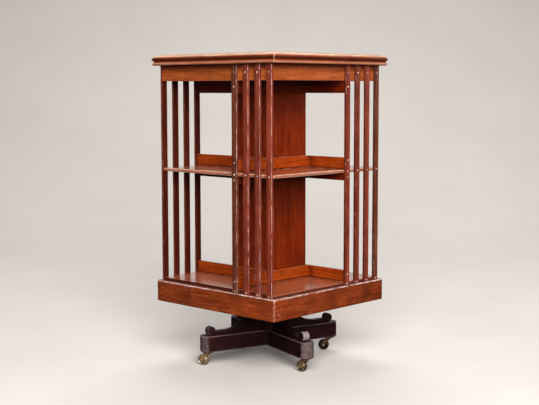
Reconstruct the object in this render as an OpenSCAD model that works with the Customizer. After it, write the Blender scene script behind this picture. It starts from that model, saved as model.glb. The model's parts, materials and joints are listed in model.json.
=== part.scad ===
// Rotating display rack: a square mahogany case with two tiers of pinwheel compartments.
// The case turns on a post that stands on a castored cross base.
// Origin: on the floor, on the axis that the case turns about. +Z is up, -Y is the front side.

/* [Case] */
// Width of the top across its moulding
top_w = 480; // [476:2:500]
// Width of the case across the frieze rails and the shelf edges
case_w = 436; // [424:2:440]
// Clear height of the lower tier, from the bottom board to the shelf
lower_tier_h = 309; // [280:1:340]
// Clear height of the upper tier, from the shelf to the frieze
upper_tier_h = 247; // [220:1:280]
// Thickness of the top panel
panel_t = 22; // [18:1:28]
// Height of the frieze rails
frieze_h = 44; // [36:1:56]
// Thickness of the frieze rails
frieze_t = 16; // [12:1:18]
// Thickness of the shelf
shelf_t = 10; // [8:1:14]
// Thickness of the bottom board
board_t = 16; // [12:1:20]
// Width of the square column in the middle
column_w = 146; // [140:2:152]
// Thickness of the column's panels
column_t = 12; // [8:1:14]

/* [Strips] */
// Thickness of the strips that run from the column to the slats
strip_t = 9; // [7:1:11]
// Height of the book stops
stop_h = 34; // [24:1:44]
// Height of the rails under the shelf
shelf_rail_h = 21; // [14:1:30]
// How far the divider rails hang below the frieze
divider_drop = 34; // [24:1:44]

/* [Slats] */
// Width of a slat
slat_w = 19; // [16:0.5:20]
// Thickness of a slat
slat_t = 7; // [6:0.5:8]
// Slats on each side
slat_count = 4; // [3:1:4]
// Distance from the case's middle to the middle of a side's first slat
slat_first = 79.5; // [78:0.5:81]

/* [Plinth] */
// Width of the plinth
plinth_w = 468; // [464:2:474]
// Height of the plinth
plinth_h = 60; // [50:1:70]
// Radius of the plinth's upright corners
plinth_r = 9; // [4:1:12]
// Height of the plinth's underside above the floor
plinth_z = 172; // [170:1:190]
// How far the bottom board stands above the plinth
board_lip = 8; // [4:1:10]

/* [Base] */
// Angle that the cross base stands at, counted from the case's right side
base_turn = -17.5; // [-45:0.5:45]
// Length of each beam of the cross over its round ends
beam_len = 450; // [420:2:456]
// Width of a beam
beam_w = 44; // [40:1:48]
// Height of a beam
beam_h = 46; // [40:1:48]
// Thickness of the scroll brackets
bracket_t = 20; // [14:1:24]

/* [Castors] */
// Diameter of a castor wheel
wheel_d = 32; // [28:1:32]
// Width of a castor wheel
wheel_w = 12; // [8:1:14]
// Distance from a castor's swivel axis to its axle
trail = 16; // [12:1:18]
// Height of a castor, from the floor to the beam
castor_h = 42; // [42:1:46]
// Directions that the castors trail in, for the right, back, left and front arm
castor_heading = [128, 118, 104, 91]; // [0:1:359]

/* [Hidden] */
$fn = 64;
// How far a cutter runs past what it cuts
over = 1;
SIDES = ["right", "back", "left", "front"];

// Colours
polished = "#8a4424";
shaded = "#5c2a1a";
ebonised = "#33191a";
bare_wood = "#9c7550";
brass = "#b08d4f";
steel = "#8d8f94";

// Heights, from the floor up
plinth_top = plinth_z + plinth_h;
board_top = plinth_top + board_lip;
shelf_z = board_top + lower_tier_h;
shelf_top = shelf_z + shelf_t;
frieze_z = shelf_top + upper_tier_h;
frieze_top = frieze_z + frieze_h;
moulding_h = 30;
top_z = frieze_top + moulding_h;
panel_z = top_z - panel_t;

// Half widths
case_r = case_w / 2;
column_r = column_w / 2;
hollow_r = column_r - column_t;

// Edge moulding of the top, as seen in section
moulding_w = 35;
bead_r = 4.25;
bead_set = 1.5;
cove_r = 2 * bead_r;
thumb_r = 30;
thumb_at = [10.8, 0.3];
fillet_set = 0.5;
nosing_h = moulding_h - 2 * cove_r;

// Screws through the slats
slat_pitch = (case_r - slat_w / 2 - slat_first) / (slat_count - 1);
screw_head_r = 3.2;
screw_r = 1.5;
screw_len = 15;
slot_w = 0.9;
slot_depth = 0.8;
fit_gap = 0.05;
mid_screw_drop = 8;
bottom_screw_drop = 12;
frame_screws = [frieze_z + frieze_h / 2, shelf_z + shelf_t / 2, board_top - board_lip / 2];
strip_screws = [
  frieze_z - divider_drop / 2, shelf_top + stop_h - mid_screw_drop,
  shelf_z - shelf_rail_h / 2, board_top + stop_h - bottom_screw_drop
];

// Blocks under the bottom board
glue_block_w = 18;
glue_block_len = 70;
glue_block_at = 100;

// Post, its bearings and the parts of the base
beam_top = castor_h + beam_h;
post_block_w = 60;
post_block_top = plinth_z + 18;
tenon_r = 14;
journal_r = 26;
journal_top = board_top + 10;
collar_r = 30;
collar_z = plinth_top - 32;
collar_top = board_top + 6;
ring_sleeve_r = 38;
ring_flange_r = 58;
ring_flange_t = 5;
post_top = frieze_z - 26;
post_tip_r = 18;
pin_r = 6;
pin_seat = 50;
pin_tip = post_top + 32;
block_h = 40;
block_z = panel_z - block_h;
cup_plate_t = 5;
cup_mouth = pin_tip - 9;
cup_r = 12;
tip_gap = 0.2;

// Scroll brackets, in section along an arm
neck_h = 11;
roll_r = 12.5;
roll_at = 195;
sweep_r = 100;
sweep_at = 150;
bracket_h = 97;
eye_r = 3.5;
eye_proud = 1;

// Castors
arm_end = (beam_len - beam_w) / 2;
wheel_r = wheel_d / 2;
plate_r = 17;
plate_t = 2.5;
swivel_gap = 0.3;
stem_r = 4;
stem_len = 30;
stem_play = 0.5;
axle_r = 2;
axle_proud = 0.8;
cheek_t = 2;
cheek_gap = 0.6;
cheek_from = -8;
cheek_to = 9;
boss_r = 6;
horn_r = 13;
horn_t = 2.4;
hub_r = 5;
rim_w = 4;
web_sunk = 1.6;
web_slope = 1;
bevel = [1.5, 2];
horn_top = castor_h - plate_t - swivel_gap;
plate_screw_at = 12;
plate_screw_r = 1.2;
plate_screw_len = 12;

// Side 0 is the right side; the strips and rails are drawn on the front and turned into place
module on_side(k) {
  rotate([0, 0, 90 * (k + 1)]) children();
}

// Arm 0 of the cross points to the right
module on_arm(k) {
  rotate([0, 0, base_turn + 90 * k]) children();
}

// The wedge of space between the axis and the front side, which mitres whatever it meets
module front_wedge(z, h) {
  translate([0, 0, z - over])
    linear_extrude(h + 2 * over)
      polygon([[0, 0], [-top_w, -top_w], [top_w, -top_w]]);
}

// Outline of the plinth
module rounded_square(w, r) {
  square([w, w - 2 * r], center = true);
  square([w - 2 * r, w], center = true);
  for (x = [-1, 1], y = [-1, 1])
    translate([x * (w / 2 - r), y * (w / 2 - r)]) circle(r = r);
}

function slat_x(i) = slat_first + i * slat_pitch;

// Places the children at the front side's screws, pointing into the wood; $turn sets each slot's angle
module at_screws(heights, slat_numbers) {
  for (z = heights, i = slat_numbers) {
    $turn = 53 * i + 29 * z;
    translate([slat_x(i), -case_r - slat_t, z]) rotate([-90, 0, 0]) children();
  }
}

// All the screws of the front side
module at_side_screws() {
  at_screws(frame_screws, [0 : slat_count - 1]) children();
  at_screws(strip_screws, [0]) children();
}

// A countersunk screw body, pointing along +Z with its head's face at 0
module screw_body(head_r, shank_r, len) {
  cylinder(r1 = head_r, r2 = shank_r, h = head_r - shank_r);
  cylinder(r = shank_r, h = len);
}

module slotted_screw(head_r, shank_r, len) {
  difference() {
    screw_body(head_r, shank_r, len);
    rotate([0, 0, $turn]) cube([3 * head_r, slot_w, 2 * slot_depth], center = true);
  }
}

module slat_screw_hole() {
  screw_body(screw_head_r + fit_gap, screw_r + fit_gap, screw_len + fit_gap);
}

// ---- The case ----

module top_panel() {
  w = top_w - 2 * moulding_w;
  color(polished)
    translate([-w / 2, -w / 2, panel_z]) cube([w, w, panel_t]);
}

// Section of the edge moulding: bead, cove and thumb, from the bottom up
module moulding_section() {
  bead_at = moulding_w - bead_set - bead_r;
  cove_back = bead_at + bead_r / 4;
  translate([bead_at, bead_r]) circle(r = bead_r);
  square([bead_at, cove_r]);
  difference() {
    translate([0, cove_r]) square([moulding_w - fillet_set, cove_r]);
    translate([cove_back + cove_r, cove_r]) circle(r = cove_r);
  }
  intersection() {
    translate([0, 2 * cove_r]) square([moulding_w, nosing_h]);
    translate(thumb_at) circle(r = thumb_r);
  }
}

module top_moulding(k) {
  color(polished)
    on_side(k)
      intersection() {
        translate([0, 0, frieze_top])
          rotate([90, 0, -90])
            linear_extrude(top_w + 2 * over, center = true)
              translate([top_w / 2 - moulding_w, 0]) moulding_section();
        front_wedge(frieze_top, moulding_h);
      }
}

module frieze_rail(k) {
  color(polished)
    on_side(k)
      difference() {
        intersection() {
          translate([-case_r, -case_r, frieze_z]) cube([case_w, frieze_t, frieze_h]);
          front_wedge(frieze_z, frieze_h);
        }
        at_side_screws() slat_screw_hole();
      }
}

// A strip of the pinwheel: it runs from the front slats along the column and butts on the next strip
module strip(z, h) {
  difference() {
    translate([column_r, -case_r, z]) cube([strip_t, case_r + column_r - fit_gap, h]);
    at_side_screws() slat_screw_hole();
  }
}

module divider_rail(k) {
  color(shaded)
    on_side(k)
      difference() {
        strip(frieze_z - divider_drop, panel_z - frieze_z + divider_drop);
        translate([0, -case_r - over, frieze_z]) cube([case_r, frieze_t + over, top_z]);
      }
}

module mid_shelf() {
  color(polished)
    difference() {
      translate([-case_r, -case_r, shelf_z]) cube([case_w, case_w, shelf_t]);
      translate([-column_r, -column_r, shelf_z - over]) cube([column_w, column_w, shelf_t + 2 * over]);
      for (k = [0 : 3]) on_side(k) at_side_screws() slat_screw_hole();
    }
}

module mid_book_stop(k) {
  color(polished) on_side(k) strip(shelf_top, stop_h);
}

module shelf_rails() {
  color(shaded)
    for (k = [0 : 3]) on_side(k) strip(shelf_z - shelf_rail_h, shelf_rail_h);
}

module bottom_board() {
  color(polished)
    difference() {
      translate([-case_r, -case_r, board_top - board_t]) cube([case_w, case_w, board_t]);
      translate([0, 0, board_top - board_t - over])
        cylinder(r = ring_sleeve_r + fit_gap, h = board_t + 2 * over);
      for (k = [0 : 3]) on_side(k) at_side_screws() slat_screw_hole();
    }
}

module bottom_book_stop(k) {
  color(polished) on_side(k) strip(board_top, stop_h);
}

module plinth_rail(k) {
  color(polished)
    on_side(k)
      intersection() {
        difference() {
          translate([0, 0, plinth_z]) linear_extrude(plinth_h) rounded_square(plinth_w, plinth_r);
          translate([-case_r, -case_r, plinth_z - over]) cube([case_w, case_w, plinth_h + 2 * over]);
        }
        front_wedge(plinth_z, plinth_h);
      }
}

// Blocks glued into the angle between the plinth and the bottom board
module glue_blocks() {
  color(bare_wood)
    for (k = [0 : 3], s = [-1, 1])
      on_side(k)
        translate([s * glue_block_at - glue_block_len / 2, -case_r, board_top - board_t - 2 * glue_block_w])
          cube([glue_block_len, glue_block_w, 2 * glue_block_w]);
}

module column_panel(k) {
  color(polished)
    on_side(k)
      translate([-column_r, -column_r, board_top])
        cube([column_w - column_t, column_t, panel_z - board_top]);
}

module slats(k) {
  color(polished)
    on_side(k)
      difference() {
        for (i = [0 : slat_count - 1])
          translate([slat_x(i) - slat_w / 2, -case_r - slat_t, plinth_top])
            cube([slat_w, slat_t, frieze_top - plinth_top]);
        at_side_screws() slat_screw_hole();
      }
}

module slat_screws() {
  color(brass)
    for (k = [0 : 3])
      on_side(k) at_side_screws() slotted_screw(screw_head_r, screw_r, screw_len);
}

// ---- The pivot ----

module pivot_block() {
  color(bare_wood)
    translate([-hollow_r, -hollow_r, block_z]) cube([2 * hollow_r, 2 * hollow_r, block_h]);
}

// Steel cup that rides on the pivot pin and carries the case
module pivot_cup() {
  color(steel)
    difference() {
      union() {
        translate([0, 0, block_z - cup_plate_t]) cylinder(r = collar_r, h = cup_plate_t);
        translate([0, 0, cup_mouth]) cylinder(r = cup_r, h = block_z - cup_mouth);
      }
      translate([0, 0, cup_mouth - over])
        cylinder(r = pin_r + fit_gap, h = pin_tip + tip_gap - cup_mouth + over);
    }
}

// Ring let into the bottom board, which steadies the case on the post's collar
module guide_ring() {
  ring_z = board_top - board_t - ring_flange_t;
  color(brass)
    difference() {
      union() {
        translate([0, 0, ring_z]) cylinder(r = ring_flange_r, h = ring_flange_t);
        translate([0, 0, ring_z]) cylinder(r = ring_sleeve_r, h = ring_flange_t + board_t);
      }
      translate([0, 0, ring_z - over])
        cylinder(r = collar_r + fit_gap, h = ring_flange_t + board_t + 2 * over);
    }
}

// ---- The base ----

// Turned post: a tenon through the beams, a square block for the brackets, a journal and a taper
module centre_post() {
  color(ebonised)
    difference() {
      union() {
        rotate_extrude()
          polygon([
            [0, castor_h], [tenon_r, castor_h], [tenon_r, beam_top], [journal_r, beam_top],
            [journal_r, journal_top], [post_tip_r, post_top], [0, post_top]
          ]);
        on_arm(0)
          translate([-post_block_w / 2, -post_block_w / 2, beam_top])
            cube([post_block_w, post_block_w, post_block_top - beam_top]);
      }
      translate([0, 0, post_top - pin_seat]) cylinder(r = pin_r + fit_gap, h = pin_seat + over);
    }
}

module post_collar() {
  color(brass)
    translate([0, 0, collar_z])
      difference() {
        cylinder(r = collar_r, h = collar_top - collar_z);
        translate([0, 0, -over]) cylinder(r = journal_r + fit_gap, h = collar_top - collar_z + 2 * over);
      }
}

module pivot_pin() {
  color(steel)
    translate([0, 0, post_top - pin_seat]) cylinder(r = pin_r, h = pin_tip - post_top + pin_seat);
}

// A castor plate's screws, at its swivel axis
module at_plate_screws() {
  for (a = [30 : 120 : 270]) {
    $turn = a;
    rotate([0, 0, a]) translate([plate_screw_at, 0, castor_h - plate_t]) children();
  }
}

module plate_screw_hole() {
  screw_body(2 * plate_screw_r + fit_gap, plate_screw_r + fit_gap, plate_screw_len + fit_gap);
}

// A beam with round ends, along X, drilled for the post's tenon and the castors
module beam() {
  difference() {
    translate([0, 0, castor_h])
      linear_extrude(beam_h) {
        square([2 * arm_end, beam_w], center = true);
        for (s = [-1, 1]) translate([s * arm_end, 0]) circle(r = beam_w / 2);
      }
    translate([0, 0, castor_h - over]) cylinder(r = tenon_r + fit_gap, h = beam_h + 2 * over);
    for (s = [-1, 1]) translate([s * arm_end, 0, 0]) {
      translate([0, 0, castor_h - over]) cylinder(r = stem_r + stem_play, h = stem_len + 2 * over);
      rotate([0, 0, s < 0 ? 180 : 0]) at_plate_screws() plate_screw_hole();
    }
  }
}

// The beams cross in a half lap: each is cut away over half its height where the other passes
module lap_notch(z) {
  translate([-beam_w / 2, -beam_w, z]) cube([beam_w, 2 * beam_w, beam_h]);
}

module lower_beam() {
  color(ebonised)
    on_arm(0)
      difference() {
        beam();
        lap_notch(castor_h + beam_h / 2);
      }
}

module upper_beam() {
  color(ebonised)
    on_arm(1)
      difference() {
        beam();
        lap_notch(castor_h - beam_h / 2);
      }
}

// Side view of a bracket: a sweep down from the post to a low neck, then a roll with an eye
module bracket_section() {
  start = post_block_w / 2;
  translate([start, 0]) square([roll_at - start, neck_h]);
  difference() {
    translate([start, 0]) square([sweep_at - start, bracket_h]);
    translate([sweep_at, neck_h + sweep_r]) circle(r = sweep_r, $fn = 128);
  }
  translate([roll_at, roll_r]) circle(r = roll_r);
}

module scroll_bracket(k) {
  color(ebonised)
    on_arm(k)
      translate([0, 0, beam_top])
        rotate([90, 0, 0]) {
          linear_extrude(bracket_t, center = true) bracket_section();
          translate([roll_at, roll_r]) cylinder(r = eye_r, h = bracket_t + 2 * eye_proud, center = true);
        }
}

// ---- The castors ----

// Places the children under arm k's end, at the castor's swivel axis
module at_castor(k) {
  on_arm(k) translate([arm_end, 0, 0]) children();
}

// Places the children on arm k's swivel axis, with +X along the castor's trail
module trailing(k) {
  at_castor(k) rotate([0, 0, castor_heading[k] - base_turn - 90 * k]) children();
}

module castor_plates() {
  color(brass)
    for (k = [0 : 3])
      at_castor(k)
        difference() {
          translate([0, 0, castor_h - plate_t]) cylinder(r = plate_r, h = plate_t);
          translate([0, 0, castor_h - plate_t - over]) cylinder(r = stem_r + fit_gap, h = plate_t + 2 * over);
          at_plate_screws() plate_screw_hole();
        }
}

module castor_screws() {
  color(brass)
    for (k = [0 : 3])
      at_castor(k) at_plate_screws() slotted_screw(2 * plate_screw_r, plate_screw_r, plate_screw_len);
}

// Side view of one cheek of the horn, from the swivel disc down to the axle
module cheek_section() {
  root = horn_top - horn_t;
  polygon([[cheek_from, root], [cheek_to, root], [trail + boss_r, wheel_r], [trail - boss_r, wheel_r]]);
  translate([trail, wheel_r]) circle(r = boss_r);
}

module castor_horn(k) {
  cheek_y = wheel_w / 2 + cheek_gap;
  color(brass)
    trailing(k) {
      translate([0, 0, horn_top - horn_t]) cylinder(r = horn_r, h = horn_t);
      translate([0, 0, horn_top - over]) cylinder(r = stem_r, h = castor_h + stem_len - horn_top);
      difference() {
        for (y = [-cheek_y - cheek_t, cheek_y])
          translate([0, y + cheek_t, 0]) rotate([90, 0, 0]) linear_extrude(cheek_t) cheek_section();
        translate([trail, 0, wheel_r])
          rotate([90, 0, 0]) cylinder(r = axle_r + fit_gap, h = 4 * wheel_w, center = true);
      }
      translate([trail, 0, wheel_r])
        rotate([90, 0, 0]) cylinder(r = axle_r, h = 2 * (cheek_y + cheek_t + axle_proud), center = true);
    }
}

// Half section of a wheel: hub, dished web and rounded rim, turned about the axle
module wheel_section() {
  half = wheel_w / 2;
  web = half - web_sunk;
  web_from = hub_r + web_slope;
  web_to = wheel_r - rim_w;
  outline = [
    [axle_r + fit_gap, half], [hub_r, half], [web_from, web], [web_to, web], [web_to + web_slope, half],
    [wheel_r - bevel[0], half], [wheel_r, half - bevel[1]]
  ];
  polygon(concat(
    outline,
    [for (i = [len(outline) - 1 : -1 : 0]) [outline[i][0], -outline[i][1]]]
  ));
}

module castor_wheel(k) {
  color(brass)
    trailing(k)
      translate([trail, 0, wheel_r]) rotate([90, 0, 0]) rotate_extrude() wheel_section();
}

top_panel();
mid_shelf();
bottom_board();
shelf_rails();
slat_screws();
glue_blocks();
pivot_block();
pivot_cup();
guide_ring();
lower_beam();
upper_beam();
centre_post();
post_collar();
pivot_pin();
castor_plates();
castor_screws();
for (k = [0 : 3]) {
  top_moulding(k);
  frieze_rail(k);
  divider_rail(k);
  mid_book_stop(k);
  bottom_book_stop(k);
  plinth_rail(k);
  column_panel(k);
  slats(k);
  scroll_bracket(k);
  castor_horn(k);
  castor_wheel(k);
}
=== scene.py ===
"""Visual model of the rotating display rack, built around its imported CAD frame.

Everything is in metres in the CAD's own frame: origin on the floor on the axis that the case turns about,
+Z up, -Y the front side. Wooden pieces and castors are rebuilt here, with worn, rounded arrises and their own
grain. The pivot's fittings, the centre post, the glue blocks and the castors' plates and screws stay as CAD
and get materials.
"""

import json
import math
import random

import bmesh
import bpy
from mathutils import Matrix, Vector, noise


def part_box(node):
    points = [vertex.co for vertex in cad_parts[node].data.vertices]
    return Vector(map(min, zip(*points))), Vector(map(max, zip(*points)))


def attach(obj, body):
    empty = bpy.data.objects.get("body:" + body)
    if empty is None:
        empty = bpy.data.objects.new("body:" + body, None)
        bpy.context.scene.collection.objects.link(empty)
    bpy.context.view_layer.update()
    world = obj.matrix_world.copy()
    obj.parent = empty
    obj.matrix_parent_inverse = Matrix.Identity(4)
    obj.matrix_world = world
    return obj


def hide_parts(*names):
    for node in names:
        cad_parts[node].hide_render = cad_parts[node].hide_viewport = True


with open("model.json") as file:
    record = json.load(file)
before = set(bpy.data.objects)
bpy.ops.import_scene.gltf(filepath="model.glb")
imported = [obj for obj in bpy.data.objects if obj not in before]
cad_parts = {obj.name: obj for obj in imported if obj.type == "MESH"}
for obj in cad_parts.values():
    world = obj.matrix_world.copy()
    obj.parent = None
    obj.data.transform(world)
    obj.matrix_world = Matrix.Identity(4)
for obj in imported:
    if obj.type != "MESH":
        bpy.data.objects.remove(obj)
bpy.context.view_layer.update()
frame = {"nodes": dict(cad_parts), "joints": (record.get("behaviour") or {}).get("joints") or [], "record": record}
NODES = frame["nodes"]
SIDES = ("right", "back", "left", "front")
RNG = random.Random(1905)
X, Y, Z = 0, 1, 2
# Turns what is drawn in X and Y so that it stands on its edge
UPRIGHT = Matrix.Rotation(math.radians(90), 4, "X")
# The radius at which a turned shape is closed off at its axis
NEARLY_AXIS = 0.00001

# Sizes that the nodes' boxes don't give, as part.scad has them
SLAT_W, SLAT_COUNT = 0.019, 4
BASE_TURN = math.radians(-17.5)
BEAM_LEN, BEAM_W = 0.450, 0.044
# A scroll bracket's side view: where it starts, its top, the neck, the roll and the long curve
BRACKET_FROM, BRACKET_TOP, BRACKET_T, NECK = 0.030, 0.097, 0.020, 0.011
ROLL_R, ROLL_AT = 0.0125, 0.195
CURVE_R, CURVE_AT = 0.100, 0.150
EYE_R, EYE_PROUD = 0.0035, 0.001
SCREW_R = 0.0028
FRAME_SCREW_INSET = 0.004
MID_SCREW_DROP, BOTTOM_SCREW_DROP = 0.008, 0.012
BOTTOM_HOLE = 0.0305
MOULDING_W, MOULDING_H = 0.035, 0.030
BEAD_R, BEAD_SET, FILLET_SET = 0.00425, 0.0015, 0.0005
THUMB_R, THUMB_AT = 0.030, (0.0108, 0.0003)
PLINTH_R = 0.009
# Castors: the horn's swivel disc, stem, cheeks and axle, and the wheel
TRAIL, WHEEL_R, WHEEL_BORE = 0.016, 0.016, 0.0021
HORN_R, HORN_T, HORN_TOP = 0.013, 0.0024, 0.0392
STEM_R, STEM_TOP = 0.004, 0.0418
CHEEK_AT, CHEEK_T, CHEEK_FROM, CHEEK_TO, BOSS_R = 0.0066, 0.002, -0.008, 0.009, 0.006
AXLE_R, AXLE_PROUD = 0.002, 0.0008

# The mesh beside a rounded arris: a narrow flat, and how far its rubbing spreads
ARRIS_FLAT, RUB_REACH = 0.0012, 0.0045
# Along a mitred rail, as fractions of its half length: extra mesh lines by each end, where the rubbing of the
# first mitre starts to fade and over how much it does, how far its fainter pale wear and painted sheen spread, and
# the second mitre's dark line
MITRE_LINES = (0.003, 0.006, 0.022, 0.034)
MITRE_RUB, MITRE_FADE, PALE_SHEEN_REACH = 0.006, 0.030, 1.1
SEAM_W, SEAM_SHADE = 0.004, 0.6
# Painted shade and painted highlight up the thumb moulding, from its foot to the top arris: dark low down,
# brightest high on the curve, darker again at the arris
THUMB_PAINTED_LIGHT = (0.35, 0.4, 0.7, 1.5, 2.3, 2.9, 3.0, 2.6, 1.8, 1.1, 0.7)
# Painted shade: the back and right sides' slats, away from the light, are darker than the two in it
SIDE_PAINTED_SHADE = (0.75, 0.68, 1.0, 1.0)
# How rubbed each side's slats are; their pale arrises are also painted highlights
SLAT_WEAR = (0.8, 0.8, 1.0, 0.84)
# Two slats have faded greyer than the rest
SLAT_TONES = {("left", 0): (0.62, 0.88, 0.80), ("front", 3): (0.74, 1.12, 1.10)}
# How rubbed each arm's end and each scroll is, with a painted sheen on the arm ends and a painted highlight on the
# front scroll; and each castor's painted light and shade
ARM_RUB_AND_SHEEN = {"right": 0.70, "back": 0.75, "left": 0.77, "front": 0.81}
SCROLL_RUB_AND_HIGHLIGHT = {"right": 0.74, "back": 0.74, "left": 0.74, "front": 1.1}
CASTOR_PAINTED_LIGHT = {"right": -1.5, "back": -0.3, "left": 0.4, "front": -0.3}

# The camera as it was fitted to the case's straight edges, with angles in degrees
CAMERA_AT = (-2.34219, -2.21247, 0.78220)
CAMERA_YAW, CAMERA_DOWN, CAMERA_ROLL = 43.397, 5.771, -0.074
SENSOR_MM, LENS_MM = 36.0, 74.68
# The studio's sweep faces it
SWEEP_YAW = 43.4


# ---- Mesh building ----


def side_turn(k):
    """The turn that takes something drawn on the front side to side k."""
    return Matrix.Rotation(math.radians(90 * (k + 1)), 4, "Z")


def arm_turn(k):
    """The turn that takes something drawn along +X to arm k of the base."""
    return Matrix.Rotation(BASE_TURN + math.radians(90 * k), 4, "Z")


def part_way(distance, reach):
    """How far a distance goes towards reach, held between 0 and 1."""
    return min(1.0, max(0.0, distance) / reach)


def add_object(name, data):
    """Puts a new object with this data into the scene."""
    ob = bpy.data.objects.new(name, data)
    bpy.context.scene.collection.objects.link(ob)
    return ob


class Shape:
    """Vertices, faces, and what the materials read at each vertex: grain position, wear and tint."""

    def __init__(self):
        self.co, self.faces, self.grain, self.wear, self.tint = [], [], [], [], []

    def add(self, co, faces, grain, wear, tint=(1, 1, 1)):
        """Takes in more vertices and faces. The tint is one for all of them or a list with one each."""
        base = len(self.co)
        self.co += [Vector(c) for c in co]
        self.faces += [[base + i for i in f] for f in faces]
        self.grain += [Vector(g) for g in grain]
        self.wear += list(wear)
        self.tint += tint if isinstance(tint, list) else [tint] * len(co)
        return self

    def turned(self, m):
        """Itself, after moving every vertex by m; the grain stays with the wood."""
        self.co = [m @ c for c in self.co]
        return self

    def join(self, other):
        """Takes in another shape."""
        base = len(self.co)
        self.co += other.co
        self.faces += [[base + i for i in f] for f in other.faces]
        self.grain += other.grain
        self.wear += other.wear
        self.tint += other.tint
        return self


def piece(name, shape, body, slot, nodes, sharp=50.0, material=None):
    """Makes the object for a shape, which rides on body, stands for nodes and takes its finish from slot.

    Edges that turn by more than sharp degrees stay hard. material names one other than the slot's own.
    """
    me = bpy.data.meshes.new(name)
    me.from_pydata([tuple(c) for c in shape.co], [], shape.faces)
    me.validate()
    for key, kind in (("grain", "FLOAT_VECTOR"), ("wear", "FLOAT"), ("tint", "FLOAT_COLOR")):
        me.attributes.new(key, kind, "POINT")
    me.attributes["grain"].data.foreach_set("vector", [x for g in shape.grain for x in g])
    me.attributes["wear"].data.foreach_set("value", shape.wear)
    me.attributes["tint"].data.foreach_set("color", [x for t in shape.tint for x in (*t, 1.0)])
    bm = bmesh.new()
    bm.from_mesh(me)
    bmesh.ops.recalc_face_normals(bm, faces=bm.faces)
    for e in bm.edges:
        e.smooth = len(e.link_faces) == 2 and e.calc_face_angle(0) < math.radians(sharp)
    for f in bm.faces:
        f.smooth = True
    bm.to_mesh(me)
    bm.free()
    ob = add_object(name, me)
    me.materials.append(MATERIALS[material or slot])
    weighted = ob.modifiers.new("flat faces", "WEIGHTED_NORMAL")
    weighted.keep_sharp = True
    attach(ob, body)
    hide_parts(*nodes)


def toned(tint, shade):
    """The tint under a shade: below 1 it turns darker and redder, above 1 bleached towards pink-grey. Most shades
    here are painted shade and painted highlights.
    """
    low, over = min(shade, 1.0), max(shade - 1.0, 0.0)
    return tuple(t * (low**p + over * b) for t, p, b in zip(tint, (1.0, 1.35, 1.6), (0.7, 3.0, 7.5)))


def lines(a, b, r, step):
    """Where the mesh lines of a board run from a to b: close together over the rounded arrises."""
    half = (b - a) / 2
    near = [d for d in (0, 0.4 * r, r, r + ARRIS_FLAT, r + RUB_REACH) if d < half * 0.93]
    inner = b - a - 2 * near[-1]
    n = max(1, round(inner / step))
    mid = [a + near[-1] + inner * i / n for i in range(1, n)]
    return [a + d for d in near] + mid + [b - d for d in reversed(near)]


def box_mesh(axes, hole):
    """The skin of a box with mesh lines at the places in axes, as vertices and faces.

    hole is the half width of a square hole through Z, whose edges are among the mesh lines.
    """
    size = [len(a) for a in axes]
    index, co, faces = {}, [], []

    def vert(ijk):
        if ijk not in index:
            index[ijk] = len(co)
            co.append(Vector([axes[n][ijk[n]] for n in range(3)]))
        return index[ijk]

    def in_hole(i, j):
        x, y = (axes[X][i] + axes[X][i + 1]) / 2, (axes[Y][j] + axes[Y][j + 1]) / 2
        return hole and abs(x) < hole and abs(y) < hole

    def quad(n, at, u, v, i, j, k):
        """Adds the face across axis n at its line at, from line i to j of axis u and k to k + 1 of axis v."""
        ring = []
        for a, b in ((i, k), (j, k), (j, k + 1), (i, k + 1)):
            ijk = [0, 0, 0]
            ijk[n], ijk[u], ijk[v] = at, a, b
            ring.append(vert(tuple(ijk)))
        faces.append(ring)

    for n in range(3):
        u, v = (n + 1) % 3, (n + 2) % 3
        for end in (0, size[n] - 1):
            for i in range(size[u] - 1):
                for k in range(size[v] - 1):
                    if n != Z or not in_hole(i, k):
                        quad(n, end, u, v, i, i + 1, k)
    if hole:
        span = [[i for i, v in enumerate(axes[n]) if abs(v) <= hole + 1e-6] for n in (X, Y)]
        for k in range(size[Z] - 1):
            for n, u in ((X, Y), (Y, X)):
                for edge in (span[n][0], span[n][-1]):
                    for i, j in zip(span[u], span[u][1:]):
                        quad(n, edge, u, Z, i, j, k)
    return co, faces


def board(lo, hi, along, r, step, wear, tint=(1, 1, 1), hole=None, shade=lambda c: 1.0):
    """A board between two corners with worn, rounded arrises, its grain along axis number along.

    hole is the half width of a square hole through Z, centred on the axis, whose edges stay sharp. shade(c)
    darkens it at a place.
    """
    rng = random.Random(RNG.random())
    drift = Vector([rng.uniform(-4, 4) for _ in range(3)])
    pith = (rng.uniform(0.03, 0.12) * rng.choice((-1, 1)), rng.uniform(0.04, 0.11))
    axes = [lines(lo[i], hi[i], r, step) for i in range(3)]
    if hole:
        clear, rim = 0.004, 0.0015
        for i in (X, Y):
            kept = [v for v in axes[i] if min(abs(v - hole), abs(v + hole)) > clear]
            axes[i] = sorted(kept + [s * (hole + d) for s in (-1, 1) for d in (0, rim)])
    co, faces = box_mesh(axes, hole)

    grain, worn, tints = [], [], []
    u, v = [i for i in range(3) if i != along]
    thin = min(hi[i] - lo[i] for i in range(3))
    for n, c in enumerate(co):
        tints.append(toned(tint, shade(c)))
        edge_gap = sorted(min(c[i] - lo[i], hi[i] - c[i]) for i in range(3))[1]
        grain.append(Vector((c[u] + pith[0], c[v] + pith[1], c[along])) + drift.z * Vector((0, 0, 1)))
        worn.append(wear * (1 - part_way(edge_gap, r + RUB_REACH)))
        if hole and max(abs(c.x), abs(c.y)) < hole + 2 * rim:
            continue
        # The arris is rounder in some places than in others
        rr = min(r * (1 + 0.45 * noise.noise(c * 23 + drift)), thin / 2)
        inner = Vector([min(max(c[i], lo[i] + rr), hi[i] - rr) for i in range(3)])
        out = c - inner
        if out.length > 1e-9:
            co[n] = inner + out.normalized() * rr
    return Shape().add(co, faces, grain, worn, tints)


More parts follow.
